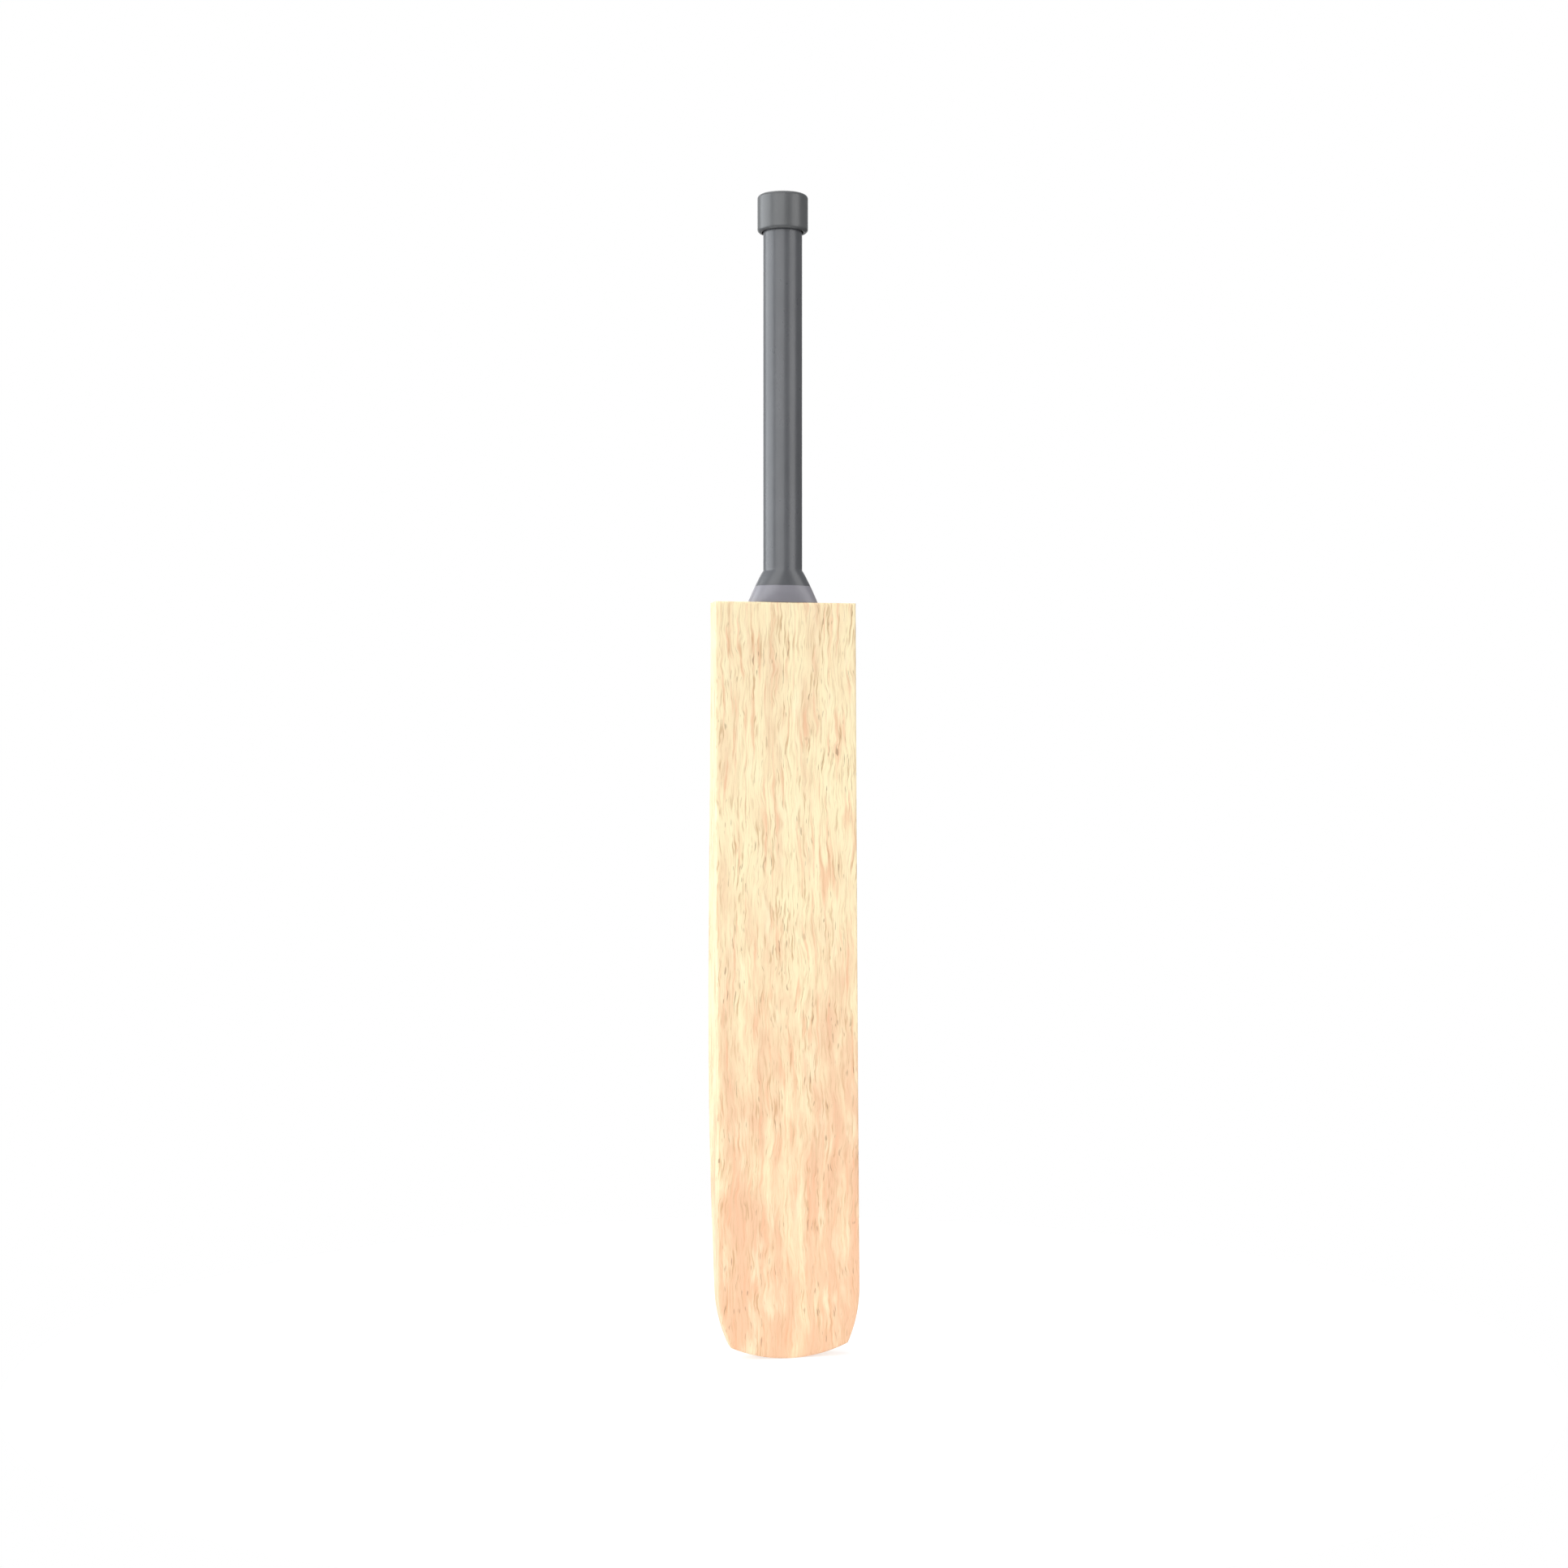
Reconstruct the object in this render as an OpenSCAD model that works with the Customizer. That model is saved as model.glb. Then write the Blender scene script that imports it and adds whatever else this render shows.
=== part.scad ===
// Cricket bat: a willow blade with a V splice, a laminated cane handle with rubber strips,
// a twine binding, a rubber grip, a shoulder collar and an end cap.
// +Z runs up the handle, along its axis, and the hitting face looks along -Y.
// The origin is on the handle's axis, in the middle of the grip, where the hands hold it.

/* [Blade] */
// Length of the blade, from the toe to the shoulder
blade_length = 550; // [520:1:580]
// Width of the blade
blade_width = 105; // [95:0.5:108]
// Height at which the edges start to curve in towards the toe
toe_rounding = 50; // [35:1:70]
// Radius of that inward curve
toe_side_radius = 95; // [70:1:140]
// Height of the toe's corners above its lowest point
toe_bow = 9.2; // [4:0.2:14]
// Thickness of the edges at the shoulder
edge_shoulder = 25.5; // [22:0.5:30]
// Thickness of the edges at the swell
edge_swell = 40; // [30:0.5:40]
// Thickness of the edges at the toe
edge_toe = 15; // [12:0.5:20]
// Height of the swell above the toe
swell_height = 215; // [180:5:260]
// Thickness of the facing glued over the hitting face
facing_thickness = 1.2; // [0.8:0.1:2]

/* [Spine] */
// Rise of the spine over the edges at the shoulder
spine_shoulder = 4; // [3:0.5:8]
// Rise of the spine over the edges at the swell
spine_swell = 21; // [8:0.5:26]
// Rise of the spine over the edges at the toe
spine_toe = 9; // [3:0.5:14]

/* [Splice] */
// Depth of the V splice below the shoulder
splice_length = 130; // [100:5:150]
// Width of the splice at the shoulder
splice_width = 34; // [30:1:40]
// Width of the blunt tip of the splice
splice_tip = 3; // [2:0.5:5]

/* [Handle] */
// Length of the bat above the shoulder, cap included
handle_length = 300; // [280:1:330]
// Outside diameter of the rubber grip
grip_diameter = 28.7; // [27:0.1:34]
// Wall of the rubber grip
grip_wall = 1.5; // [1.2:0.1:2]
// Thickness of the twine binding
twine_thickness = 1.1; // [0.8:0.1:1.4]
// Thickness of each rubber strip between the cane slips
strip_thickness = 1; // [0.8:0.1:2]
// Distance between neighbouring rubber strips
strip_spacing = 6; // [5:0.5:7]
// Width of the middle cane of each slip
cane_width = 8; // [6:0.5:9]

/* [Flare and collar] */
// Height of the flared foot of the handle
flare_height = 24; // [20:1:30]
// Width of the flare where it stands on the shoulder
flare_width = 52; // [44:0.5:56]
// Front to back depth of the flare where it stands on the shoulder
flare_depth = 25.2; // [24:0.2:26]
// Height of the collar, the pale lower part of the flare
collar_height = 12.4; // [8:0.2:16]

/* [Cap] */
// Outside diameter of the end cap
cap_diameter = 37.3; // [34:0.1:40]
// Height of the end cap
cap_height = 27.2; // [20:0.2:32]
// Rounding of the cap's rims
cap_rounding = 2.4; // [1:0.2:3]
// Thickness of the cap's closed top
cap_top = 4.6; // [3:0.2:6]

/* [Hidden] */
CANE_ROWS = 4;
CANE_COLUMNS = 3;

total_length = blade_length + handle_length;
grip_radius = grip_diameter / 2;
twine_radius = grip_radius - grip_wall;
cane_radius = twine_radius - twine_thickness;
cap_bottom = total_length - cap_height;
cap_ceiling = total_length - cap_top;
handle_top = cap_ceiling - 0.3;
glue_line = 0.1;
fit_gap = 0.1;
far = 60;
// Height of the hands, in the middle of the grip, above the lowest point of the toe
hold_height = 700;

// The root block: the handle's rectangular part, between the splice and the round shaft
root_height = 12;
root_depth = 20.4;
root_top_width = 2 * cane_radius + 1;
twine_bottom = blade_length + root_height + 3;
twine_top = handle_top - 3;

toe_corner = half_side_curve(toe_bow);
toe_radius = (toe_corner * toe_corner + toe_bow * toe_bow) / (2 * toe_bow);
back_corner = 5;
front_corner = 0.5;
corner_steps = 4;
crown_steps = 20;
crown_power = 0.85;

// Distance of the hitting face in front of the handle's axis at height z: the face bows forward to the toe
face_lean = 7.4;
face_bow = 5.8;
function face_front(z) =
    let (t = (blade_length - z) / blade_length)
    edge_shoulder / 2 + face_lean * t + face_bow * t * t;

function below_swell(z) = pow(sin(90 * z / swell_height), 1.2);
function above_swell(z) = cos(90 * (z - swell_height) / (blade_length - swell_height));

// Thickness of the blade's edges at height z
function edge_thickness(z) = z < swell_height
    ? edge_toe + (edge_swell - edge_toe) * below_swell(z)
    : edge_shoulder + (edge_swell - edge_shoulder) * pow(above_swell(z), 2);

// Rise of the spine over the edges at height z
function spine_rise(z) = z < swell_height
    ? spine_toe + (spine_swell - spine_toe) * below_swell(z)
    : spine_shoulder + (spine_swell - spine_shoulder) * above_swell(z);

// Half width of the blade at height z: straight edges, a curve inwards, then the bow of the toe
function half_side_curve(z) = blade_width / 2 - toe_side_radius
    + sqrt(pow(toe_side_radius, 2) - pow(max(0, toe_rounding - z), 2));
function half_width(z) = z < toe_bow ? sqrt(z * (2 * toe_radius - z)) : half_side_curve(z);

// Distance of the back behind the handle's axis, at height z and x from the middle
function back_surface(z, x) = edge_thickness(z) - face_front(z)
    + spine_rise(z) * pow((1 + cos(360 * x / blade_width)) / 2, crown_power);

// Every piece is drawn with the toe at height 0, then lowered so that the hands hold it at the origin
module from_the_hands() {
    translate([0, 0, -hold_height]) children();
}

// One corner of a section: an arc of the given radius about centre
function corner(centre, radius, start) =
    [for (k = [0 : corner_steps])
        let (a = start + 90 * k / corner_steps)
        [centre.x + radius * cos(a), centre.y + radius * sin(a)]];

// The back of a section, from the right edge over the spine to the left edge
function crown(z, reach) =
    [for (k = [1 : crown_steps - 1])
        let (x = reach * (1 - 2 * k / crown_steps))
        [x, back_surface(z, x)]];

// The outline of the wooden blade at height z, behind the facing
function blade_section(z, w) =
    let (front = facing_thickness - face_front(z))
    let (r = min(back_corner, w / 2))
    let (f = min(front_corner, w / 2))
    let (back = back_surface(z, w - r))
    concat(
        corner([w - f, front + f], f, -90),
        corner([w - r, back - r], r, 0),
        crown(z, w - r),
        corner([r - w, back - r], r, 90),
        corner([f - w, front + f], f, 180));

// A closed solid through sections of equal point count, from the lowest to the highest
module loft(sections, heights) {
    n = len(sections[0]);
    last = len(sections) - 1;
    points = [for (i = [0 : last]) for (p = sections[i]) [p.x, p.y, heights[i]]];
    sides = [for (i = [0 : last - 1]) for (k = [0 : n - 1])
        [i * n + k, (i + 1) * n + k, (i + 1) * n + (k + 1) % n, i * n + (k + 1) % n]];
    bottom = [for (k = [0 : n - 1]) k];
    top = [for (k = [n - 1 : -1 : 0]) last * n + k];
    polyhedron(points, concat([bottom, top], sides), convexity = 6);
}

// Heights of the blade's sections: close together round the toe, then even steps
toe_heights = concat(
    [for (k = [0 : 7]) toe_radius - sqrt(pow(toe_radius, 2) - pow(toe_corner * k / 7, 2))],
    [for (k = [1 : 8]) toe_bow + (toe_rounding - toe_bow) * k / 8]);
body_heights = [for (k = [1 : 24]) toe_rounding + (blade_length - splice_length - toe_rounding) * k / 24];
splice_heights = [for (k = [1 : 8]) blade_length - splice_length + splice_length * k / 8];
toe_flat = 0.1;

// The blade's outer shape between two of its sections
module blade_body(heights) {
    loft([for (z = heights) blade_section(z, half_width(max(z, toe_flat)))], heights);
}

// The splice seen from the front, grown by gap on each side
module splice_outline(gap) {
    polygon([
        [-splice_tip / 2 - gap, blade_length - splice_length],
        [splice_tip / 2 + gap, blade_length - splice_length],
        [splice_width / 2 + gap, blade_length],
        [-splice_width / 2 - gap, blade_length]]);
}

module splice_wedge(gap) {
    rotate([90, 0, 0])
        linear_extrude(2 * far, center = true)
            splice_outline(gap);
}

module blade() {
    color("#f6dfb4") from_the_hands()
        difference() {
            blade_body(concat(toe_heights, body_heights, splice_heights));
            splice_wedge(glue_line);
            // the slot's mouth, cut clear through the shoulder
            translate([-splice_width / 2 - glue_line, -far, blade_length - 0.01])
                cube([splice_width + 2 * glue_line, 2 * far, 1]);
        }
}

// The facing seen from the side: a thin band along the hitting face
module facing_profile() {
    heights = concat([0], [for (k = [1 : 30]) blade_length * k / 30]);
    back = [for (z = heights) [z, facing_thickness - face_front(z)]];
    front = [for (k = [len(heights) - 1 : -1 : 0]) [heights[k], -face_front(heights[k])]];
    polygon(concat(back, front));
}

// The hitting face seen from the front
module face_outline() {
    right = [for (z = toe_heights) [half_width(z), z]];
    left = [for (k = [len(toe_heights) - 1 : -1 : 1]) [-right[k].x, right[k].y]];
    polygon(concat(right, [[blade_width / 2, blade_length], [-blade_width / 2, blade_length]], left));
}

module face_facing() {
    color("#fbe3bb") from_the_hands()
        intersection() {
            rotate([90, 0, 0])
                linear_extrude(2 * far, center = true)
                    face_outline();
            rotate([0, -90, 0])
                linear_extrude(blade_width + 2, center = true)
                    facing_profile();
        }
}

// The root block, grown by gap on every side
module root_block(gap) {
    bottom = splice_width / 2 + gap;
    top = root_top_width / 2 + gap;
    rotate([90, 0, 0])
        linear_extrude(root_depth + 2 * gap, center = true)
            polygon([
                [-bottom, blade_length - gap], [bottom, blade_length - gap],
                [top, blade_length + root_height + gap], [-top, blade_length + root_height + gap]]);
}

// The whole cane handle before it is divided: round shaft, root block and splice tongue
module handle_blank() {
    translate([0, 0, blade_length + root_height])
        cylinder(r = cane_radius, h = handle_top - blade_length - root_height, $fn = 96);
    root_block(0);
    intersection() {
        blade_body(concat([blade_length - splice_length], splice_heights));
        splice_wedge(0);
    }
}

// Front and back limits of cane slip number row, counted from the hitting face
function slip_range(row) = [
    row == 1 ? -far : (row - 1 - CANE_ROWS / 2) * strip_spacing + strip_thickness / 2,
    row == CANE_ROWS ? far : (row - CANE_ROWS / 2) * strip_spacing - strip_thickness / 2];

// Left and right limits of a column of canes
function column_range(column) = [
    column == 1 ? -far : (column == 2 ? -cane_width / 2 : cane_width / 2 + glue_line / 2),
    column == 3 ? far : (column == 2 ? cane_width / 2 : -cane_width / 2 - glue_line / 2)];

module cane(row, column) {
    y = slip_range(row);
    x = column_range(column);
    color(column == 2 ? "#d9b777" : "#cfa965") from_the_hands()
        intersection() {
            handle_blank();
            translate([x[0], y[0], 0])
                cube([x[1] - x[0], y[1] - y[0], total_length]);
        }
}

module rubber_strip(k) {
    color("#2b2b2d") from_the_hands()
        intersection() {
            handle_blank();
            translate([-far, (k - CANE_ROWS / 2) * strip_spacing - strip_thickness / 2, 0])
                cube([2 * far, strip_thickness, total_length]);
        }
}

module twine_binding() {
    color("#d8cfb8") from_the_hands()
        translate([0, 0, twine_bottom])
            difference() {
                cylinder(r = twine_radius, h = twine_top - twine_bottom, $fn = 96);
                translate([0, 0, -1])
                    cylinder(r = cane_radius + 0.02, h = twine_top - twine_bottom + 2, $fn = 96);
            }
}

// Section of the flare h above the shoulder: round at the top, wide and flattened at the shoulder
flare_points = 64;
flare_power = 0.88;
foot_squareness = 3;
depth_change = 10;
function flare_half_width(h) =
    grip_radius + (flare_width / 2 - grip_radius) * pow(max(0, 1 - h / flare_height), flare_power);
function flare_half_depth(h) =
    grip_radius - (grip_radius - flare_depth / 2) * pow(max(0, 1 - h / depth_change), 2);
function flare_squareness(h) = 2 + (foot_squareness - 2) * max(0, 1 - h / flare_height);
function signed_power(v, p) = sign(v) * pow(abs(v), p);
function flare_section(h) =
    let (p = 2 / flare_squareness(h))
    [for (k = [0 : flare_points - 1])
        let (a = 360 * k / flare_points)
        [flare_half_width(h) * signed_power(cos(a), p), flare_half_depth(h) * signed_power(sin(a), p)]];

function flare_heights(low, high, steps) = [for (k = [0 : steps]) low + (high - low) * k / steps];
module flare_body(heights) {
    translate([0, 0, blade_length])
        loft([for (h = heights) flare_section(h)], heights);
}

module shoulder_collar() {
    color("#a9a8b0") from_the_hands()
        difference() {
            flare_body(flare_heights(0, collar_height, 5));
            root_block(fit_gap);
            translate([0, 0, blade_length])
                cylinder(r = cane_radius + fit_gap, h = 2 * collar_height, $fn = 96);
        }
}

module grip() {
    color("#6f7375") from_the_hands()
        difference() {
            flare_body(concat(flare_heights(collar_height, flare_height, 6), [handle_top - blade_length]));
            translate([0, 0, twine_bottom - fit_gap])
                cylinder(r = twine_radius + 0.02, h = total_length, $fn = 96);
            translate([0, 0, blade_length])
                cylinder(r = cane_radius + fit_gap, h = total_length, $fn = 96);
        }
}

// The cap's half section: a wall with rounded rims and a closed top
module cap_profile() {
    bore = grip_radius + 0.05;
    outside = cap_diameter / 2;
    difference() {
        union() {
            translate([0, cap_bottom + cap_rounding])
                square([outside, cap_height - 2 * cap_rounding]);
            translate([0, cap_bottom])
                square([outside - cap_rounding, cap_height]);
            for (z = [cap_bottom + cap_rounding, total_length - cap_rounding])
                translate([outside - cap_rounding, z])
                    circle(r = cap_rounding, $fn = 48);
        }
        translate([-1, cap_bottom - 1])
            square([bore + 1, cap_ceiling - cap_bottom + 1]);
    }
}

module end_cap() {
    color("#75797c") from_the_hands()
        rotate_extrude($fn = 96)
            cap_profile();
}

blade();
face_facing();
for (row = [1 : CANE_ROWS]) for (column = [1 : CANE_COLUMNS])
    cane(row, column);
for (k = [1 : CANE_ROWS - 1])
    rubber_strip(k);
twine_binding();
grip();
shoulder_collar();
end_cap();
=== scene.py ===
"""Cricket bat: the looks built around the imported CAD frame.

Shapes are worked out in millimetres from the frame's boxes, and turned into metres when a mesh is made.
"""
import math

import bpy
import bmesh
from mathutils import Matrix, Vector

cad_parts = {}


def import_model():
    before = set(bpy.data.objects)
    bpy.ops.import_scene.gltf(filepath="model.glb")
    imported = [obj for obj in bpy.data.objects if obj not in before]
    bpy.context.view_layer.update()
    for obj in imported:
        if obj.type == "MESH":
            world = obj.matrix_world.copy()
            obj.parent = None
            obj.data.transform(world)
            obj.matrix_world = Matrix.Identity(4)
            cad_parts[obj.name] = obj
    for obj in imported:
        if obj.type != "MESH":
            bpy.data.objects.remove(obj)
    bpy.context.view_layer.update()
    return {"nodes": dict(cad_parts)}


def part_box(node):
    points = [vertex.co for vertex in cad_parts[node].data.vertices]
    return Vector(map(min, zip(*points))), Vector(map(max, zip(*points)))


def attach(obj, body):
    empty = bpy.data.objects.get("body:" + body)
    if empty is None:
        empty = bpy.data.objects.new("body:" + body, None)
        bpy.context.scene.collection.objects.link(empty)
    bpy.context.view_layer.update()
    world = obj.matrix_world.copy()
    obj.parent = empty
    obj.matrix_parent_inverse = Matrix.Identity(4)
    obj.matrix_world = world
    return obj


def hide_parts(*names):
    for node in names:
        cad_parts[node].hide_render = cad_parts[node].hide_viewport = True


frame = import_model()

MM = 0.001
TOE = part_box("blade")[0].z


def box_mm(node):
    """A CAD node's lowest and highest corners in millimetres, with heights from the toe."""
    low, high = (corner - Vector((0, 0, TOE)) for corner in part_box(node))
    return [v / MM for v in low], [v / MM for v in high]


# ---------------------------------------------------------------- sizes from the frame
cap_low, cap_high = box_mm("end_cap")
blade_low, blade_high = box_mm("blade")
grip_low, grip_high = box_mm("grip")
facing_low = box_mm("face_facing")[0]
collar_high = box_mm("shoulder_collar")[1]
twine_high = box_mm("twine_binding")[1]

AXIS_Y = (cap_low[1] + cap_high[1]) / 2
FOOT = Vector((0, AXIS_Y * MM, TOE))
LENGTH = blade_high[2]
HALF_WIDTH = blade_high[0]
CAP_RADIUS = cap_high[0]
GRIP_RADIUS = (grip_high[1] - grip_low[1]) / 2
COLLAR_TOP = collar_high[2]
FLARE_HALF_WIDTH = collar_high[0]
FACING = blade_low[1] - facing_low[1]
TWINE_RADIUS = twine_high[0]
HANDLE_TOP = grip_high[2]

# ---------------------------------------------------------------- the blade's shape
# Thickness of the edges, and rise of the spine over them, at shoulder, swell and toe
EDGE_SHOULDER, EDGE_SWELL, EDGE_TOE = 25.5, 40.0, 15.0
SPINE_SHOULDER, SPINE_SWELL, SPINE_TOE = 4.0, 21.0, 9.0
SWELL = 215.0
FACE_LEAN, FACE_BOW = 7.4, 5.8
CROWN_POWER = 0.85
TOE_ROUNDING, TOE_SIDE_RADIUS, TOE_BOW = 50.0, 95.0, 9.2
SPLICE_DEPTH = 130.0
SPLICE_HALF = box_mm("rubber_strip_2")[1][0]
SPLICE_TIP_HALF = 1.5
GLUE = 0.1
SWELL_POWER, EDGE_POWER, SPINE_POWER = 1.2, 2, 1


def face_front(z):
    """Distance of the hitting face in front of the handle's axis."""
    t = (LENGTH - z) / LENGTH
    return EDGE_SHOULDER / 2 + FACE_LEAN * t + FACE_BOW * t * t


def swell_profile(z, toe, swell, shoulder, power):
    """A value that runs from toe over swell to shoulder."""
    if z < SWELL:
        return toe + (swell - toe) * math.sin(math.pi / 2 * max(z, 0.0) / SWELL) ** SWELL_POWER
    above = (z - SWELL) / (LENGTH - SWELL)
    return shoulder + (swell - shoulder) * math.cos(math.pi / 2 * above) ** power


def back_surface(x, z):
    """Distance of the back behind the handle's axis, before its rim is rounded."""
    edge = swell_profile(z, EDGE_TOE, EDGE_SWELL, EDGE_SHOULDER, EDGE_POWER)
    rise = swell_profile(z, SPINE_TOE, SPINE_SWELL, SPINE_SHOULDER, SPINE_POWER)
    crown = ((1 + math.cos(math.pi * min(1, abs(x) / HALF_WIDTH))) / 2) ** CROWN_POWER
    return edge - face_front(z) + rise * crown


def side_curve(z):
    """Half the width at height z, where the sides curve in towards the toe."""
    drop = max(0.0, TOE_ROUNDING - z)
    return HALF_WIDTH - TOE_SIDE_RADIUS + math.sqrt(TOE_SIDE_RADIUS ** 2 - drop ** 2)


TOE_CORNER = side_curve(TOE_BOW)
TOE_RADIUS = (TOE_CORNER ** 2 + TOE_BOW ** 2) / (2 * TOE_BOW)


def half_width(z):
    """Half the blade's width at height z, toe included."""
    if z < TOE_BOW:
        return math.sqrt(max(z, 0.0) * (2 * TOE_RADIUS - z))
    return side_curve(z)


def rim_distance(x, z):
    """How far a point of the blade, seen from the front, lies inside its outline."""
    if z >= TOE_ROUNDING:
        return max(0.0, min(half_width(z) - abs(x), LENGTH - z))
    side = TOE_SIDE_RADIUS - math.hypot(abs(x) - HALF_WIDTH + TOE_SIDE_RADIUS, TOE_ROUNDING - z)
    toe = TOE_RADIUS - math.hypot(x, TOE_RADIUS - z)
    return max(0.0, min(side, toe))


def rounding(distance, radius):
    """How far a surface falls back at this distance from a rim rounded to the radius."""
    if distance >= radius:
        return 0.0
    return radius - math.sqrt(radius ** 2 - (radius - distance) ** 2)


def splice_half(z):
    """Half the width of the V splice at height z."""
    t = (z - LENGTH + SPLICE_DEPTH) / SPLICE_DEPTH
    return SPLICE_TIP_HALF + (SPLICE_HALF - SPLICE_TIP_HALF) * max(0.0, min(1.0, t))


# ---------------------------------------------------------------- mesh helpers
def spread(low, high, count):
    """Evenly spaced numbers from low to high, count steps apart."""
    return [low + (high - low) * k / count for k in range(count + 1)]


def add_piece(name, mesh, nodes, material, sharp=35):
    """Makes an object of a bmesh in millimetres about the handle's axis, riding on the bat."""
    bmesh.ops.recalc_face_normals(mesh, faces=mesh.faces)
    for vertex in mesh.verts:
        vertex.co = vertex.co * MM + FOOT
    data = bpy.data.meshes.new(name)
    mesh.to_mesh(data)
    mesh.free()
    data.shade_smooth()
    data.set_sharp_from_angle(angle=math.radians(sharp))
    data.materials.append(material)
    piece = bpy.data.objects.new(name, data)
    bpy.context.collection.objects.link(piece)
    normals = piece.modifiers.new("normals", "WEIGHTED_NORMAL")
    normals.keep_sharp = True
    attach(piece, "root")
    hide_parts(*nodes)


def slab(heights, across, front, back, solid=lambda row, column: True):
    """A closed solid between a front and a back surface, over a grid of heights and places across."""
    mesh = bmesh.new()
    fronts, backs = [], []
    for z in heights:
        places = across(z)
        fronts.append([mesh.verts.new((x, front(x, z), z)) for x in places])
        backs.append([mesh.verts.new((x, back(x, z), z)) for x in places])
    rows, columns = len(heights) - 1, len(fronts[0]) - 1

    def filled(k, j):
        return 0 <= k < rows and 0 <= j < columns and solid(k, j)

    for k in range(rows):
        for j in range(columns):
            if not filled(k, j):
                continue
            f = [fronts[k][j], fronts[k][j + 1], fronts[k + 1][j + 1], fronts[k + 1][j]]
            b = [backs[k][j], backs[k][j + 1], backs[k + 1][j + 1], backs[k + 1][j]]
            mesh.faces.new(f)
            mesh.faces.new(b[::-1])
            beyond = [(k - 1, j), (k, j + 1), (k + 1, j), (k, j - 1)]
            for side, (other_k, other_j) in enumerate(beyond):
                if not filled(other_k, other_j):
                    near = (side + 1) % 4
                    mesh.faces.new([f[near], f[side], b[side], b[near]])
    bmesh.ops.delete(mesh, geom=[v for v in mesh.verts if not v.link_faces], context="VERTS")
    return mesh


def tube(rings):
    """A closed shell through rings of equal point count, whose last ring joins its first."""
    mesh = bmesh.new()
    loops = [[mesh.verts.new(p) for p in ring] for ring in rings]
    count = len(loops[0])
    for i, ring in enumerate(loops):
        after = loops[(i + 1) % len(loops)]
        for k in range(count):
            mesh.faces.new([ring[k], ring[(k + 1) % count], after[(k + 1) % count], after[k]])
    return mesh


# ---------------------------------------------------------------- node materials
class Material:
    """A node material in the making. Its node-adding methods return an output socket."""

    def __init__(self, name, roughness, specular=0.5):
        self.result = bpy.data.materials.new(name)
        self.result.use_nodes = True
        self.tree = self.result.node_tree
        self.shader = self.tree.nodes["Principled BSDF"]
        self.shader.inputs["Roughness"].default_value = roughness
        self.shader.inputs["Specular IOR Level"].default_value = specular
        self.place = self.node("ShaderNodeTexCoord").outputs["Object"]

    def node(self, kind, **settings):
        """Adds a node, and returns the node itself."""
        made = self.tree.nodes.new(kind)
        for key, value in settings.items():
            setattr(made, key, value)
        return made

    def wire(self, socket, value):
        """Links another socket to this one, or sets it to a plain value."""
        if isinstance(value, bpy.types.NodeSocket):
            self.tree.links.new(value, socket)
        else:
            socket.default_value = value

    def math(self, operation, a, b=0.0):
        made = self.node("ShaderNodeMath", operation=operation)
        for socket, value in zip(made.inputs, (a, b)):
            self.wire(socket, value)
        return made.outputs[0]

    def scaled(self, per_mm, offset=(0, 0, 0), place=None):
        """Object coordinates turned into texture cells: per_mm cells for each millimetre."""
        made = self.node("ShaderNodeMapping")
        self.wire(made.inputs["Vector"], place or self.place)
        made.inputs["Scale"].default_value = [s / MM for s in per_mm]
        made.inputs["Location"].default_value = offset
        return made.outputs[0]

    def noise(self, per_mm, detail=2.0, rough=0.5, offset=(0, 0, 0), place=None):
        made = self.node("ShaderNodeTexNoise")
        self.wire(made.inputs["Vector"], self.scaled(per_mm, offset, place))
        made.inputs["Scale"].default_value = 1.0
        made.inputs["Detail"].default_value = detail
        made.inputs["Roughness"].default_value = rough
        return made.outputs["Fac"]

    def step(self, value, low, high, to_low=0.0, to_high=1.0):
        """A smooth change from to_low to to_high while the value goes from low to high."""
        made = self.node("ShaderNodeMapRange", interpolation_type="SMOOTHSTEP")
        for key, number in (("Value", value), ("From Min", low), ("From Max", high),
                            ("To Min", to_low), ("To Max", to_high)):
            self.wire(made.inputs[key], number)
        return made.outputs["Result"]

    def mix(self, factor, a, b):
        made = self.node("ShaderNodeMix", data_type="RGBA")
        self.wire(made.inputs[0], factor)
        for socket, value in ((made.inputs[6], a), (made.inputs[7], b)):
            self.wire(socket, value if isinstance(value, bpy.types.NodeSocket) else (*value, 1.0))
        return made.outputs[2]

    def finish(self, color, roughness=None, height=None, depth=0.05):
        """Wires up the shader, with bumps depth millimetres high, and returns the material."""
        self.wire(self.shader.inputs["Base Color"], color)
        if roughness is not None:
            self.wire(self.shader.inputs["Roughness"], roughness)
        if height is not None:
            bump = self.node("ShaderNodeBump")
            bump.inputs["Distance"].default_value = depth * MM
            self.wire(bump.inputs["Height"], height)
            self.wire(self.shader.inputs["Normal"], bump.outputs["Normal"])
        return self.result


def from_srgb(red, green, blue):
    """A colour given in the usual 0 to 255, as the shader's linear numbers."""
    def linear(v):
        v /= 255
        return v / 12.92 if v <= 0.04045 else ((v + 0.055) / 1.055) ** 2.4
    return tuple(linear(v) for v in (red, green, blue))


# The wood's colours, from its ground to its flecks
CREAM = from_srgb(241, 225, 185)
PALE = from_srgb(243, 233, 198)
PEACH = from_srgb(219, 177, 144)
PINK = from_srgb(223, 167, 132)
STROKE = from_srgb(184, 143, 102)
PORE = from_srgb(136, 102, 76)
# How far up the blade the toe's warmer, darker tone reaches, and how strong it is: partly the willow's own
# warmer colour, partly painted shade that offsets the floor's bounce light at the toe
TOE_WARMTH_AND_SHADE_REACH = 0.75
TOE_WARMTH_AND_SHADE = 0.27
# How far the grain wanders over long stretches, and slants over short ones
WANDER, SLANT = 10 * MM, 6 * MM


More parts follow.
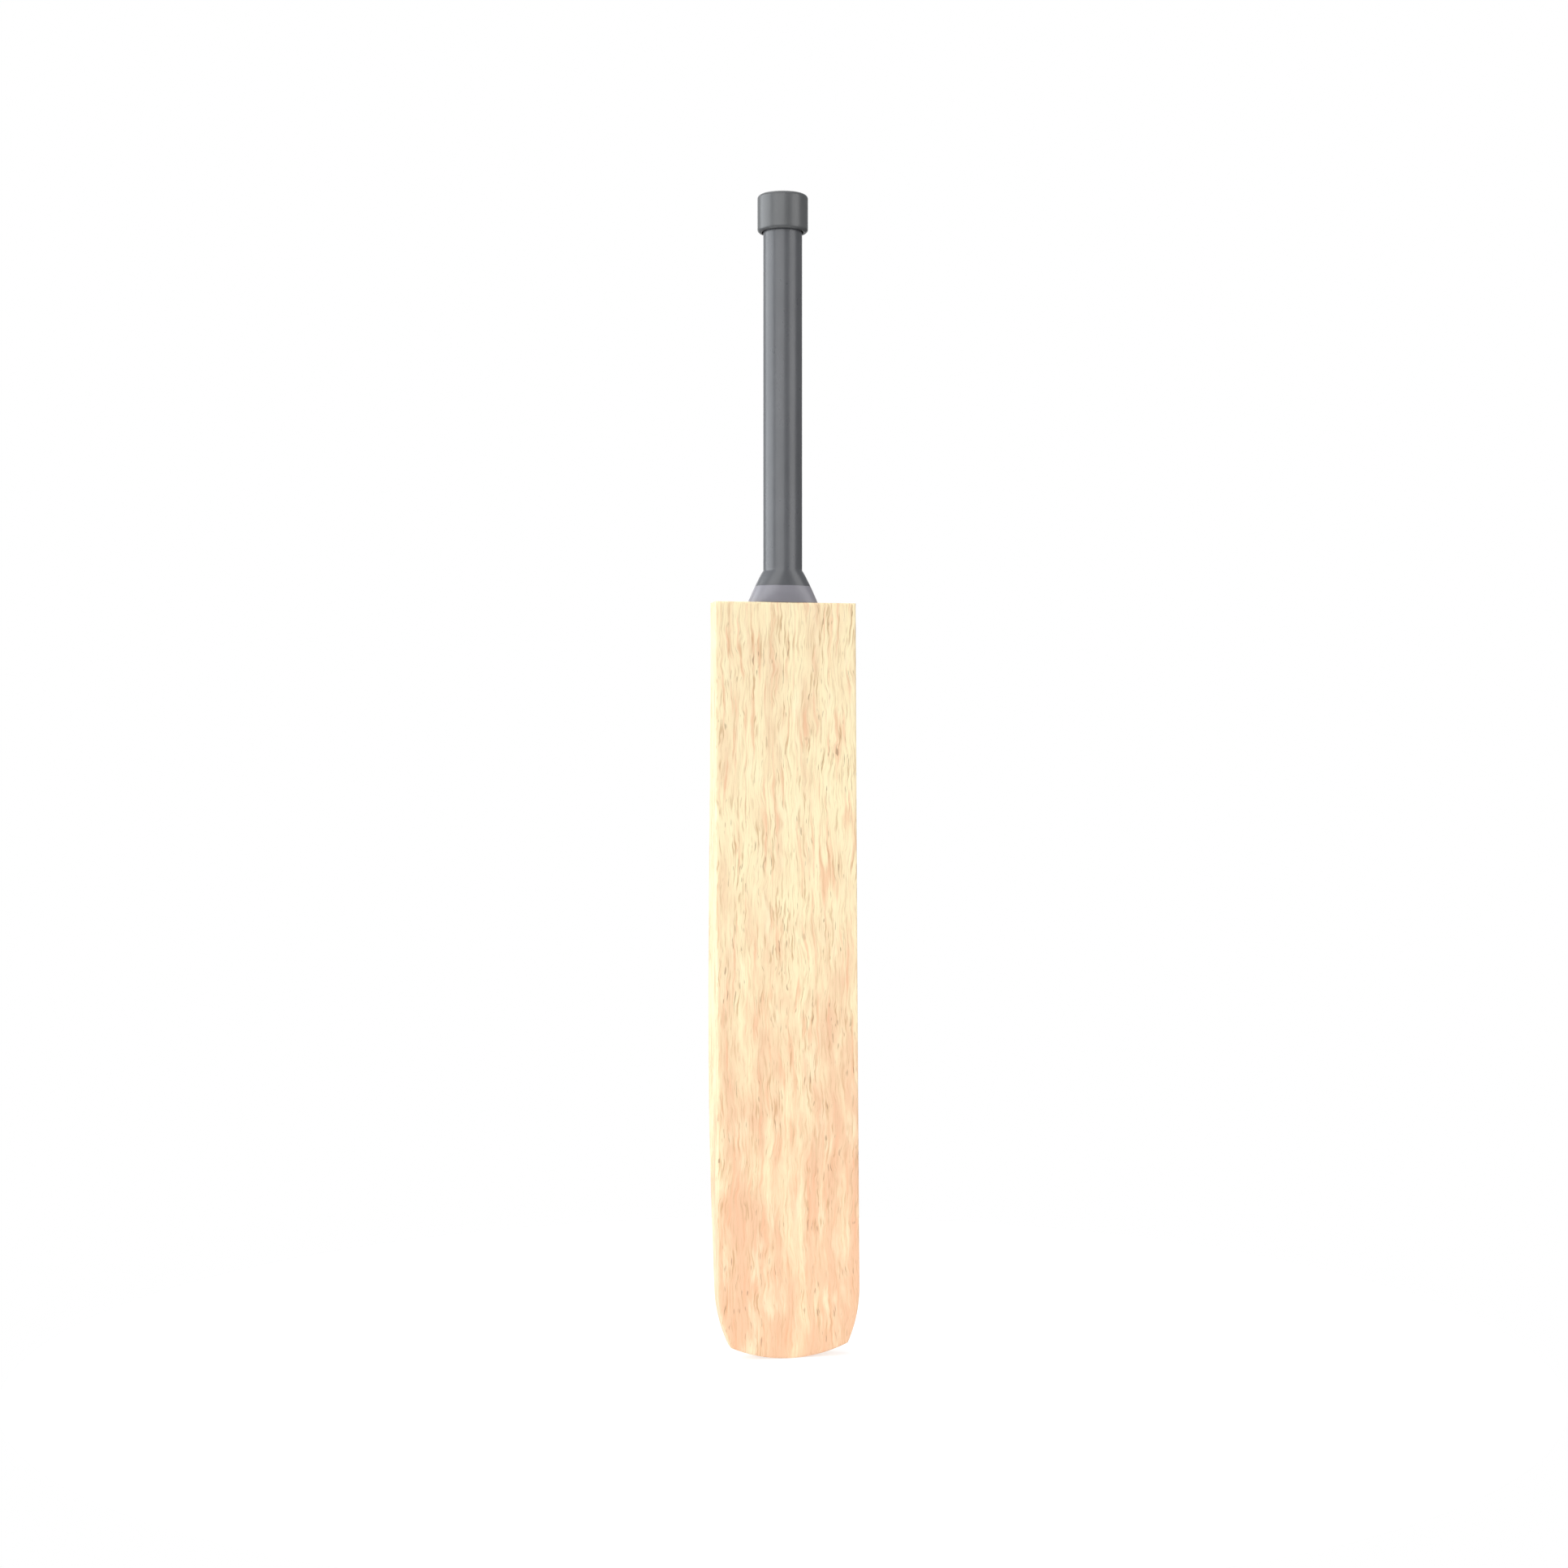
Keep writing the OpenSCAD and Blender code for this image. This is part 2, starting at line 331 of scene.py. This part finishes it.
def wandering_grain(m, a, b, c):
    """Object coordinates pushed to the side by noise, so that the grain isn't quite straight."""
    wander = m.noise((0.02, 0.02, 0.012), detail=1, offset=(a, b, c))
    slant = m.noise((0.10, 0.10, 0.05), detail=2, offset=(c, a, b))
    shift = m.node("ShaderNodeCombineXYZ")
    m.wire(shift.inputs["X"], m.math("ADD", m.math("MULTIPLY", wander, WANDER),
                                     m.math("MULTIPLY", slant, SLANT)))
    bent = m.node("ShaderNodeVectorMath", operation="ADD")
    m.wire(bent.inputs[0], m.place)
    m.wire(bent.inputs[1], shift.outputs[0])
    return bent.outputs[0]


def wood_tone(m, patches, bands):
    """From 0 for cream to about 1 for peach: uneven, and warmer and darker towards the toe, partly the
    wood's own colour and partly painted shade against the floor's bounce light.
    """
    parts = m.node("ShaderNodeSeparateXYZ")
    m.wire(parts.inputs[0], m.place)
    # Partly painted shade: the wood darkens towards the toe, where the floor's bounce light falls strongest
    toe_warmth_and_shade = m.step(parts.outputs["Z"], TOE + TOE_WARMTH_AND_SHADE_REACH * LENGTH * MM, TOE)
    uneven = m.math("ADD", m.math("MULTIPLY", patches, 0.6), m.math("MULTIPLY", bands, 0.4))
    return m.math("ADD", uneven, m.math("MULTIPLY", toe_warmth_and_shade, TOE_WARMTH_AND_SHADE))


def wood(name, seed):
    """Bleached willow: cream and peach drawn out along the grain, fine strokes, pink streaks and flecks."""
    m = Material(name, roughness=0.5, specular=0.3)
    a, b, c = seed * 7.3, seed * 3.1, seed * 1.7
    place = wandering_grain(m, a, b, c)

    def grain(across, along, detail, rough, offset):
        """Noise with so many cells per millimetre across the grain and along it."""
        return m.noise((across, across, along), detail, rough, offset=offset, place=place)

    patches = grain(0.075, 0.018, 4, 0.6, (a, b, c))
    bands = grain(0.07, 0.002, 2, 0.6, (b, c, a))
    pale_marks = grain(0.13, 0.022, 3, 0.55, (a, c, b))
    streaks = grain(0.30, 0.02, 2, 0.5, (c, a, b))
    fibres = grain(1.3, 0.03, 3, 0.6, (a, b, c))
    strokes = grain(0.75, 0.045, 2, 0.5, (b, a, c))
    pores = grain(0.75, 0.09, 1, 0.5, (c, b, a))
    groups = grain(0.06, 0.018, 2, 0.5, (b, c, b))
    grouped = m.step(groups, 0.40, 0.58, 0.35, 1.0)
    color = m.mix(m.step(wood_tone(m, patches, bands), 0.42, 0.84), CREAM, PEACH)
    color = m.mix(m.step(pale_marks, 0.50, 0.74, 0.0, 0.42), color, PALE)
    color = m.mix(m.step(streaks, 0.52, 0.72, 0.0, 0.60), color, PINK)
    color = m.mix(m.step(fibres, 0.46, 0.78, 0.0, 0.48), color, STROKE)
    color = m.mix(m.math("MULTIPLY", m.step(strokes, 0.55, 0.69, 0.0, 0.62), grouped), color, STROKE)
    color = m.mix(m.math("MULTIPLY", m.step(pores, 0.66, 0.75, 0.0, 0.6), grouped), color, PORE)
    rough = m.step(fibres, 0.3, 0.8, 0.46, 0.60)
    height = m.math("SUBTRACT", fibres, m.step(strokes, 0.60, 0.72))
    return m.finish(color, rough, height, depth=0.05)


CANE_TAN, CANE_BROWN = from_srgb(226, 190, 132), from_srgb(204, 162, 104)
CANE_FIBRE, CANE_PORE = from_srgb(172, 128, 76), from_srgb(112, 78, 44)


def cane_wood():
    """Split cane: straight tan fibres with fine dark pores."""
    m = Material("split_cane", roughness=0.48, specular=0.4)
    fibres = m.noise((1.6, 1.6, 0.012), detail=3, rough=0.6)
    pores = m.noise((2.4, 2.4, 0.05), detail=2, offset=(5, 3, 8))
    tone = m.noise((0.2, 0.2, 0.006), detail=2, offset=(2, 7, 1))
    color = m.mix(m.step(tone, 0.35, 0.65), CANE_TAN, CANE_BROWN)
    color = m.mix(m.step(fibres, 0.45, 0.8, 0.0, 0.5), color, CANE_FIBRE)
    color = m.mix(m.step(pores, 0.62, 0.74, 0.0, 0.7), color, CANE_PORE)
    return m.finish(color, m.step(fibres, 0.3, 0.8, 0.42, 0.6), fibres, depth=0.08)


def soft_rubber(name, dark, light, roughness, stipple):
    """Moulded rubber: even colour with faint clouding, a fine stipple and slightly varied gloss."""
    m = Material(name, roughness=roughness, specular=0.5)
    cloud = m.noise((0.05, 0.05, 0.02), detail=4, rough=0.6)
    grain = m.noise((6.0, 6.0, 6.0), detail=2, rough=0.6, offset=(3, 1, 4))
    scuff = m.noise((0.10, 0.10, 0.05), detail=3, rough=0.6, offset=(9, 2, 6))
    color = m.mix(m.step(cloud, 0.3, 0.7), dark, light)
    color = m.mix(m.step(grain, 0.45, 0.75, 0.0, 0.12), color, light)
    rough = m.math("ADD", m.step(scuff, 0.3, 0.75, -0.02, 0.03), roughness)
    return m.finish(color, rough, grain, depth=stipple)


TURN_OF_TWINE = 1.2 * MM
# Painted shade for the grooves between turns of twine; the thread's own colour on its ridges, and its fluff
TWINE_GROOVE_SHADE, TWINE_RIDGE = from_srgb(120, 104, 78), from_srgb(216, 204, 176)
TWINE_FLUFF = from_srgb(160, 144, 112)


def twine_cord():
    """Waxed thread wound round the handle, a turn beside the next, with painted shade in the grooves between
    turns.
    """
    m = Material("waxed_twine", roughness=0.6, specular=0.3)
    parts = m.node("ShaderNodeSeparateXYZ")
    m.wire(parts.inputs[0], m.place)
    turns = m.math("MULTIPLY", parts.outputs["Z"], 2 * math.pi / TURN_OF_TWINE)
    ridge = m.math("SINE", turns)
    fluff = m.noise((3.0, 3.0, 3.0), detail=3)
    # The grooves between turns are painted dark as shade; the ridges keep the thread's colour
    color = m.mix(m.step(ridge, -1.0, 0.2), TWINE_GROOVE_SHADE, TWINE_RIDGE)
    color = m.mix(m.step(fluff, 0.5, 0.8, 0.0, 0.3), color, TWINE_FLUFF)
    return m.finish(color, None, ridge, depth=0.4)


willow = wood("willow", seed=1)
facing_wood = wood("facing_wood", seed=4)
cane = cane_wood()
strip_rubber = soft_rubber("strip_rubber", (0.02, 0.02, 0.022), (0.035, 0.035, 0.037), 0.6, 0.03)
grip_rubber = soft_rubber("grip_rubber", from_srgb(79, 80, 83), from_srgb(85, 86, 89), 0.29, 0.006)
cap_rubber = soft_rubber("cap_rubber", from_srgb(82, 83, 84), from_srgb(88, 89, 90), 0.31, 0.006)
collar_rubber = soft_rubber("collar_rubber", from_srgb(124, 122, 128), from_srgb(132, 130, 137), 0.33, 0.006)
twine = twine_cord()


# ---------------------------------------------------------------- blade and facing
# Distances inside the rim that carry a row of points
RIM = [0.0, 0.06, 0.22, 0.5, 0.95, 1.6, 2.4, 3.4, 4.4, 5.2]
# Half width below which those rows are drawn together
RIM_ROOM = 30
TOE_STEPS = 12
SIDE_STEPS = 12
BODY_STEPS = 44
SPLICE_STEPS = 22
FACE_COLUMNS = 16
BLADE_COLUMNS = 12
SLOT_COLUMN = BLADE_COLUMNS + len(RIM) - 1
# Lowest height at which the blade's width is measured, so that the toe's first row has a width
LOWEST = 0.04
# Share of the half width that the middle column has below the splice, near the toe
MIDDLE_SHARE = 0.1
# The facing's eased rim, and the rounded corners of the blade behind it and of its back
RIM_WIDTH, RIM_DEPTH = 2.4, 1.05
FRONT_CORNER, BACK_CORNER = 0.3, 5.0
TINY = 1e-6


def blade_heights():
    """Close together round the toe and at the shoulder's rim, and a row at the tip of the splice."""
    toe = [TOE_RADIUS - math.sqrt(TOE_RADIUS ** 2 - (TOE_CORNER * k / TOE_STEPS) ** 2)
           for k in range(TOE_STEPS + 1)]
    side = spread(TOE_BOW, TOE_ROUNDING, SIDE_STEPS)[1:]
    body = spread(TOE_ROUNDING, LENGTH - SPLICE_DEPTH, BODY_STEPS)[1:]
    splice = spread(LENGTH - SPLICE_DEPTH, LENGTH - RIM[-1], SPLICE_STEPS)[1:]
    return toe + side + body + splice + [LENGTH - d for d in RIM[-2::-1]]


def row_at(z):
    """Half the width of the row at height z, and the distances of its points inside the rim."""
    w = half_width(max(z, LOWEST))
    return w, [d * min(1.0, w / RIM_ROOM) for d in RIM]


def across_face(z):
    """Places across the blade at height z: close together at the rims."""
    w, rim = row_at(z)
    inner = spread(-(w - rim[-1]), w - rim[-1], FACE_COLUMNS)
    return [d - w for d in rim[:-1]] + inner + [w - d for d in rim[-2::-1]]


def facing_front(x, z):
    """The hitting face, its rim eased over a flat oval."""
    eased = rounding(rim_distance(x, z) * RIM_DEPTH / RIM_WIDTH, RIM_DEPTH)
    return -face_front(z) + eased


def facing_back(x, z):
    return -face_front(z) + FACING


def across_blade(z):
    """As across_face, with a place at each side of the splice."""
    w, rim = row_at(z)
    slot = min(splice_half(z) + GLUE, MIDDLE_SHARE * w if z < TOE_ROUNDING else w)
    right = spread(slot, w - rim[-1], BLADE_COLUMNS) + [w - d for d in rim[-2::-1]]
    return [-x for x in right[::-1]] + right


def blade_front(x, z):
    return -face_front(z) + FACING + rounding(rim_distance(x, z), FRONT_CORNER)


def blade_back(x, z):
    return back_surface(x, z) - rounding(rim_distance(x, z), BACK_CORNER)


def build_blade():
    """The facing, and the willow behind it with its V slot open down to the splice's tip."""
    heights = blade_heights()
    facing = slab(heights, across_face, facing_front, facing_back)
    add_piece("facing", facing, ["face_facing"], facing_wood)
    splice_row = next(k for k, z in enumerate(heights) if z >= LENGTH - SPLICE_DEPTH - TINY)
    blade = slab(heights, across_blade, blade_front, blade_back,
                 solid=lambda k, j: k < splice_row or j != SLOT_COLUMN)
    add_piece("willow_blade", blade, ["blade"], willow)


build_blade()


# ---------------------------------------------------------------- cane handle
CANE_ROWS = 4
CANE_COLUMNS = 3
FAR = 60.0
ROOT_HEIGHT = 12.0
ROOT_HALF_DEPTH = 10.2
# The shaft is what the twine's wall and a small gap leave of the twine's radius
TWINE_WALL, TWINE_GAP = 1.1, 0.05
SHAFT_RADIUS = TWINE_RADIUS - TWINE_WALL - TWINE_GAP
# The root block's top stands this much out over the shaft
ROOT_OVERHANG = 0.5
# Share of its full reach that a piece's edge takes on the shaft, which keeps it off a zero depth
SHAFT_SHARE = 0.999
# Height over which a piece changes from tongue to block, and from block to shaft
JOINT = 0.2
# Half the glue line between neighbouring canes of a slip
SLIP_GAP = 0.05
# Rounding of a piece's edges where it shows on the back, and how far above the point where
# an outer cane has no width it starts
EDGE_EASE = 0.35
TIP_START = 0.4
CANE_TOP = box_mm("cane_1_1")[1][2]


def layer_limits(node):
    """Front and back of a slip or strip between its neighbours, about the handle's axis."""
    low, high = box_mm(node)
    return low[1] - AXIS_Y, high[1] - AXIS_Y


def handle_depth(x, z, sign):
    """Front (sign -1) or back (sign 1) of the whole handle: tongue, root block and round shaft."""
    if z <= LENGTH:
        return -face_front(z) + FACING if sign < 0 else back_surface(x, z)
    if z <= LENGTH + ROOT_HEIGHT:
        return sign * ROOT_HALF_DEPTH
    return sign * math.sqrt(max(SHAFT_RADIUS ** 2 - x * x, 0.0))


def handle_half_width(z, inner):
    """Half the handle's width for a piece whose nearest side lies inner from the axis."""
    if z <= LENGTH:
        return splice_half(z)
    if z <= LENGTH + ROOT_HEIGHT:
        widening = (z - LENGTH) / ROOT_HEIGHT
        return SPLICE_HALF + (SHAFT_RADIUS + ROOT_OVERHANG - SPLICE_HALF) * widening
    return math.sqrt(SHAFT_RADIUS ** 2 - inner ** 2) * SHAFT_SHARE


def handle_rows(left, right):
    """Heights of a handle piece's rows, from where the splice is wide enough to hold it."""
    tip = LENGTH - SPLICE_DEPTH
    narrow = max(left, -right)
    if narrow > 0:
        tip += SPLICE_DEPTH * (narrow + TIP_START - SPLICE_TIP_HALF) / (SPLICE_HALF - SPLICE_TIP_HALF)
    rows = spread(tip, LENGTH, 16) + spread(LENGTH + JOINT, LENGTH + ROOT_HEIGHT, 3)
    return rows + spread(LENGTH + ROOT_HEIGHT + JOINT, CANE_TOP, 6)


def handle_piece(name, node, sides, layer, material):
    """One cane or rubber strip, cut from the whole handle between its sides and its layer's limits."""
    left, right = sides
    front_limit, back_limit = layer
    inner = max(front_limit, -back_limit, 0.0)

    def limits(z):
        most = handle_half_width(z, inner)
        return max(left, -most), min(right, most)

    def front(x, z):
        return max(front_limit, handle_depth(x, z, -1))

    def back(x, z):
        low, high = limits(z)
        eased = rounding(min(x - low, high - x), EDGE_EASE) if z <= LENGTH else 0.0
        return min(back_limit, handle_depth(x, z, 1) - eased)

    def across(z):
        low, high = limits(z)
        edge = min(EDGE_EASE, (high - low) / 6)
        return [low, low + edge / 4] + spread(low + edge, high - edge, 8) + [high - edge / 4, high]

    add_piece(name, slab(handle_rows(left, right), across, front, back), [node], material)


def build_handle():
    """Four slips of three canes, with a rubber strip between each slip and the next."""
    middle_low, middle_high = (corner[0] for corner in box_mm("cane_2_2"))
    columns = [(-FAR, middle_low - SLIP_GAP), (middle_low, middle_high), (middle_high + SLIP_GAP, FAR)]
    strips = [layer_limits(f"rubber_strip_{k}") for k in range(1, CANE_ROWS)]
    for row in range(1, CANE_ROWS + 1):
        layer = (-FAR if row == 1 else strips[row - 2][1], FAR if row == CANE_ROWS else strips[row - 1][0])
        for column in range(1, CANE_COLUMNS + 1):
            handle_piece(f"split_cane_{row}_{column}", f"cane_{row}_{column}", columns[column - 1],
                         layer, cane)
    for k, layer in enumerate(strips, start=1):
        handle_piece(f"spring_strip_{k}", f"rubber_strip_{k}", (-FAR, FAR), layer,
                     strip_rubber)


build_handle()


# ---------------------------------------------------------------- grip, collar and cap
SEGMENTS = 96
FLARE_HEIGHT = 24.0
FLARE_POWER = 0.88
FLARE_HALF_DEPTH = 12.6
# Height over which the flare goes from its foot's depth to the grip's
DEPTH_CHANGE = 10.0
# The collar's eased foot, the fine edges where grip and collar meet, and the grip's rounded top
SEAM, MEETING, GRIP_TOP_EASE = 0.25, 0.08, 0.4
# Gap between the grip's or collar's lower edge and what is under it
LIFT = 0.02
COLLAR_WALL = 1.2
GRIP_BORE = TWINE_RADIUS + 0.05


def signed_power(v, p):
    """A power of the size of v, with the sign of v."""
    return math.copysign(abs(v) ** p, v)


def oval(half_x, half_y, squareness, z):
    """A ring that is an ellipse at squareness 2 and nears a rectangle above it."""
    ring = []
    for k in range(SEGMENTS):
        a = 2 * math.pi * k / SEGMENTS
        ring.append((half_x * signed_power(math.cos(a), 2 / squareness),
                     half_y * signed_power(math.sin(a), 2 / squareness), z))
    return ring


def flare_ring(z, inset=0.0):
    """The outside of collar and grip at height z: an oval foot that turns into the round grip."""
    h = z - LENGTH
    foot = max(0.0, 1 - h / FLARE_HEIGHT)
    half_x = GRIP_RADIUS + (FLARE_HALF_WIDTH - GRIP_RADIUS) * foot ** FLARE_POWER
    half_y = GRIP_RADIUS - (GRIP_RADIUS - FLARE_HALF_DEPTH) * max(0.0, 1 - h / DEPTH_CHANGE) ** 2
    return oval(half_x - inset, half_y - inset, 2 + foot, z)


def build_collar():
    """The pale lower part of the flare, hollow round the root block."""
    foot, top = LENGTH + LIFT, COLLAR_TOP
    rings = [flare_ring(foot, SEAM), flare_ring(LENGTH + SEAM)]
    rings += [flare_ring(z) for z in spread(LENGTH + 1.0, top - 1.0, 6)]
    rings += [flare_ring(top - MEETING), flare_ring(top, MEETING)]
    rings += [oval(SPLICE_HALF + COLLAR_WALL, ROOT_HALF_DEPTH + COLLAR_WALL, 4, z) for z in (top, foot)]
    add_piece("collar", tube(rings), ["shoulder_collar"], collar_rubber)


def build_grip():
    """The rubber sleeve, from the dark upper part of the flare to the cap."""
    foot = COLLAR_TOP + LIFT / 2
    rings = [flare_ring(foot, MEETING), flare_ring(foot + MEETING)]
    rings += [flare_ring(z) for z in spread(COLLAR_TOP + 0.8, LENGTH + FLARE_HEIGHT, 10)]
    rings += [flare_ring(z) for z in spread(LENGTH + FLARE_HEIGHT + 2, HANDLE_TOP - GRIP_TOP_EASE, 12)]
    rings += [flare_ring(HANDLE_TOP, GRIP_TOP_EASE)]
    rings += [oval(GRIP_BORE, GRIP_BORE, 2, z) for z in (HANDLE_TOP, COLLAR_TOP + 6, foot)]
    add_piece("rubber_grip", tube(rings), ["grip"], grip_rubber)


CAP_ROUNDING = 2.4
CAP_LIP = 0.6
# The open groove under the cap: its width round the grip, and its depth
CAP_MOUTH = 0.9
MOUTH_DEPTH = 4.0
CAP_BORE = GRIP_RADIUS + 0.1
CAP_CEILING = HANDLE_TOP + 0.3
# Radius of the smallest ring, which closes the cap's middle
CENTRE = 0.01


def arc(centre_r, centre_z, radius, start, end, steps=8):
    """Points of a quarter round in the cap's half section, as radius and height."""
    return [(centre_r + radius * math.cos(a), centre_z + radius * math.sin(a))
            for a in spread(math.radians(start), math.radians(end), steps)]


def build_cap():
    """The cap's half section, turned about the axis, from its mouth over the top to its ceiling."""
    bottom, top = cap_low[2], cap_high[2]
    mouth, shoulder = CAP_BORE + CAP_MOUTH, CAP_RADIUS - CAP_ROUNDING
    profile = arc(mouth + CAP_LIP, bottom + CAP_LIP, CAP_LIP, 180, 270, 6)
    profile += arc(shoulder, bottom + CAP_ROUNDING, CAP_ROUNDING, -90, 0)
    profile += [(CAP_RADIUS, z) for z in spread(bottom + 4, top - 4, 4)]
    profile += arc(shoulder, top - CAP_ROUNDING, CAP_ROUNDING, 0, 90)
    profile += [(r, top) for r in (12, 8, 4, CENTRE)]
    profile += [(CENTRE, CAP_CEILING), (CAP_BORE - 2, CAP_CEILING), (CAP_BORE, CAP_CEILING)]
    profile += [(CAP_BORE, bottom + MOUTH_DEPTH), (mouth, bottom + MOUTH_DEPTH - 1)]
    rings = [oval(r, r, 2, z) for r, z in profile]
    add_piece("cap", tube(rings), ["end_cap"], cap_rubber)


build_collar()
build_grip()
build_cap()

twine_node = frame["nodes"]["twine_binding"]
for material_slot in twine_node.material_slots:
    material_slot.material = twine


# ---------------------------------------------------------------- stage, light and camera
def aim(thing, target):
    thing.rotation_euler = (Vector(target) - thing.location).to_track_quat("-Z", "Y").to_euler()


# What every lamp faces, measured from the toe
MIDDLE = Vector((0, 0, 0.45))


def soft_box(name, place, width, height, power, color):
    """A lamp facing the middle of the bat. Its place is measured from the toe."""
    light = bpy.data.lights.new(name, "AREA")
    light.shape = "RECTANGLE"
    light.size, light.size_y = width, height
    light.energy = power
    light.color = color
    lamp = bpy.data.objects.new(name, light)
    bpy.context.collection.objects.link(lamp)
    lamp.location = FOOT + Vector(place)
    aim(lamp, FOOT + MIDDLE)


FLOOR_RADIUS = 0.55
FLOOR_GLOW = 0.60
FLOOR_DARK, FLOOR_LIGHT = (0.42, 0.42, 0.42), (0.44, 0.44, 0.44)


def floor():
    """A small round floor, pale enough to vanish into the white around it."""
    mesh = bmesh.new()
    bmesh.ops.create_circle(mesh, cap_ends=True, segments=96, radius=FLOOR_RADIUS)
    data = bpy.data.meshes.new("floor")
    mesh.to_mesh(data)
    mesh.free()
    disc = bpy.data.objects.new("floor", data)
    disc.location = FOOT
    bpy.context.collection.objects.link(disc)
    m = Material("floor_white", roughness=0.9, specular=0.1)
    m.shader.inputs["Emission Color"].default_value = (1, 1, 1, 1)
    m.shader.inputs["Emission Strength"].default_value = FLOOR_GLOW
    grain = m.noise((0.05, 0.05, 0.05), detail=3)
    data.materials.append(m.finish(m.mix(grain, FLOOR_DARK, FLOOR_LIGHT)))


# Strength of the soft light from above and from the left
FILL_ABOVE = 0.32
FILL_LEFT = 0.30


def world():
    """Seen straight on it is white. As light it is soft, strongest from above and from the left."""
    made = bpy.data.worlds.new("studio")
    bpy.context.scene.world = made
    made.use_nodes = True
    tree = made.node_tree

    def node(kind, **inputs):
        new = tree.nodes.new(kind)
        for key, value in inputs.items():
            new.inputs[key.replace("_", " ")].default_value = value
        return new

    def brightened(source, low, high, amount):
        ramp = node("ShaderNodeMapRange", From_Min=low, From_Max=high, To_Min=0.0, To_Max=amount)
        ramp.interpolation_type = "SMOOTHSTEP"
        tree.links.new(source, ramp.inputs["Value"])
        return ramp.outputs["Result"]

    direction = node("ShaderNodeSeparateXYZ")
    tree.links.new(node("ShaderNodeTexCoord").outputs["Generated"], direction.inputs[0])
    total = node("ShaderNodeMath")
    total.operation = "ADD"
    tree.links.new(brightened(direction.outputs["Z"], -0.25, 0.35, FILL_ABOVE), total.inputs[0])
    tree.links.new(brightened(direction.outputs["X"], 0.9, -0.6, FILL_LEFT), total.inputs[1])
    fill = node("ShaderNodeBackground", Color=(0.96, 0.98, 1.0, 1))
    tree.links.new(total.outputs[0], fill.inputs["Strength"])
    seen = tree.nodes["Background"]
    seen.inputs["Color"].default_value = (1, 1, 1, 1)
    seen.inputs["Strength"].default_value = 1.0
    choose = node("ShaderNodeMixShader")
    tree.links.new(node("ShaderNodeLightPath").outputs["Is Camera Ray"], choose.inputs[0])
    tree.links.new(fill.outputs[0], choose.inputs[1])
    tree.links.new(seen.outputs[0], choose.inputs[2])
    tree.links.new(choose.outputs[0], tree.nodes["World Output"].inputs["Surface"])


# The camera is level, this far round to the bat's left, away from it, above its toe and to the right
CAMERA_TURN = math.radians(12)
CAMERA_DISTANCE = 1793 * MM
CAMERA_HEIGHT = 417 * MM
CAMERA_OFFSET = 0.96 * MM
LENS = 55.9
SENSOR = 36.0


def camera():
    ahead = Vector((math.sin(CAMERA_TURN), math.cos(CAMERA_TURN), 0))
    right = Vector((ahead.y, -ahead.x, 0))
    data = bpy.data.cameras.new("camera")
    data.lens = LENS
    data.sensor_width = SENSOR
    made = bpy.data.objects.new("camera", data)
    bpy.context.collection.objects.link(made)
    above_toe = FOOT + Vector((0, 0, CAMERA_HEIGHT))
    made.location = above_toe - ahead * CAMERA_DISTANCE + right * CAMERA_OFFSET
    made.rotation_euler = (math.pi / 2, 0, -CAMERA_TURN)
    bpy.context.scene.camera = made


# Name, place from the toe, width, height, power and colour of each soft box
SOFT_BOXES = [
    ("key_left", (-1.77, 0.32, 0.80), 2.1, 1.8, 40, (0.93, 0.97, 1.0)),
    ("front_left", (-1.18, -2.09, 1.05), 2.4, 2.0, 36, (0.98, 0.99, 1.0)),
    ("front_right", (1.34, -1.20, 0.75), 1.2, 1.8, 17, (1, 1, 1)),
    ("rear", (0.4, 2.3, 1.2), 1.8, 1.8, 11, (1, 1, 1)),
]
OVERHEAD_POWER = 1.4
OVERHEAD_SPREAD = math.radians(60)
OVERHEAD_TILT = (math.radians(-6), math.radians(-8), 0)


def lights():
    """The soft boxes, and a wide soft light from straight above."""
    for values in SOFT_BOXES:
        soft_box(*values)
    sun = bpy.data.lights.new("overhead", "SUN")
    sun.energy = OVERHEAD_POWER
    sun.angle = OVERHEAD_SPREAD
    lamp = bpy.data.objects.new("overhead", sun)
    bpy.context.collection.objects.link(lamp)
    lamp.rotation_euler = OVERHEAD_TILT


floor()
world()
lights()
camera()
bpy.context.scene.view_settings.view_transform = "Standard"
